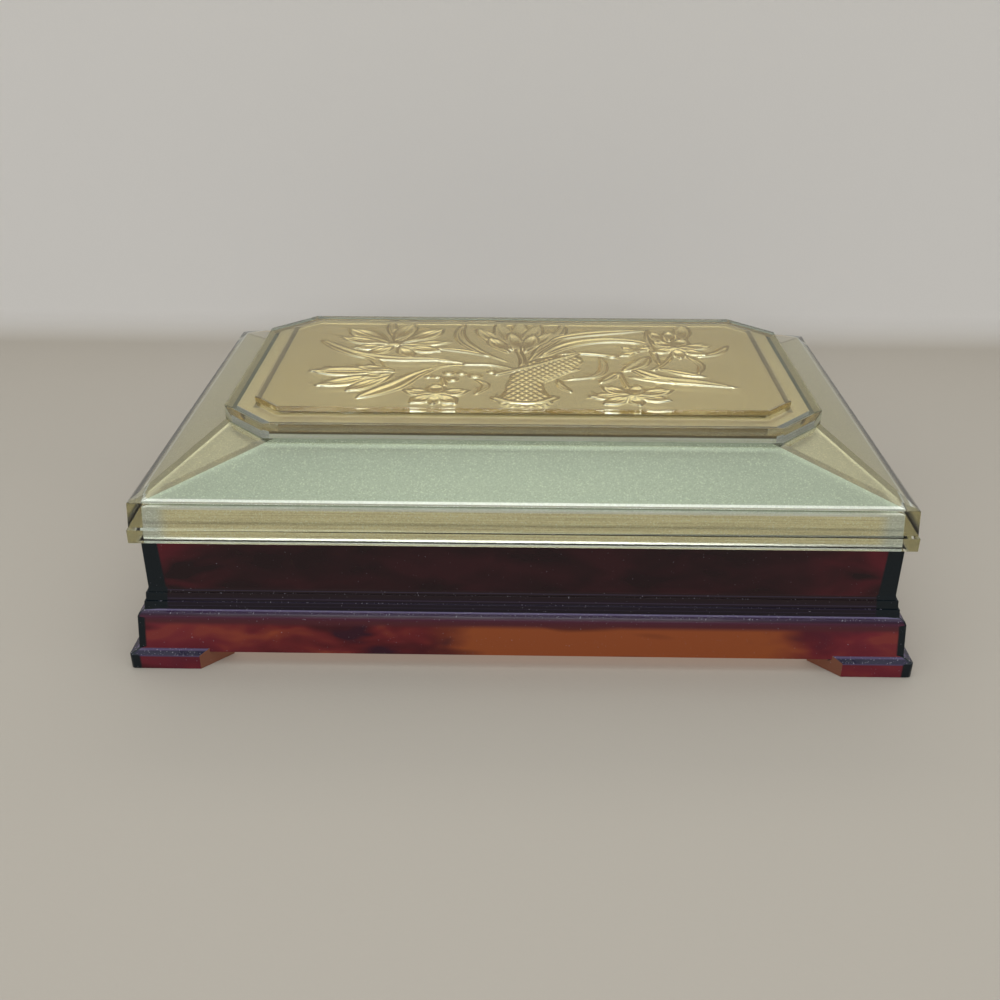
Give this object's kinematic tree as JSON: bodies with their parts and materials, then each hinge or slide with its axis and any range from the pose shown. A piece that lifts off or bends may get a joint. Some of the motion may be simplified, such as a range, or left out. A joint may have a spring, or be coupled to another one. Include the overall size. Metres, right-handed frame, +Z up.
{
  "type": "jewelry box",
  "caption": "Rectangular footed jewelry box with a stepped dark plinth and a hinged clear lid, lacquered gold inside, that has a hipped roof and a raised clipped-corner panel.",
  "frame": {"origin": "on the ground under the middle of the box, between the four feet", "axes": "+X to the box's right as seen from the front, +Y from the front to the hinged rear, +Z up"},
  "size_m": [0.1986, 0.1352, 0.0591],
  "materials": {
    "tortoiseshell": "polished moulded plastic, marbled dark red-brown to near black",
    "clear_plastic": "polished clear moulded plastic, faintly green, with fine scratches",
    "gold_lacquer": "metal-flake lacquer, dull khaki gold",
    "steel": "drawn wire",
    "velvet": "short-pile velvet"
  },
  "bodies": {
    "base": {"base_tray": "tortoiseshell", "hinge_pin_left": "steel", "hinge_pin_right": "steel", "floor_pad": "velvet", "front_lining": "velvet", "rear_lining": "velvet", "left_lining": "velvet", "right_lining": "velvet"},
    "lid": {"lid_shell": "clear_plastic", "lid_gold_coat": "gold_lacquer"}
  },
  "joints": [
    {"name": "lid_hinge", "type": "hinge", "parent": "base", "child": "lid", "pos_m": [0, 0.06495, 0.0348], "axis": [-1, 0, 0], "range_deg": [0, 105]}
  ]
}
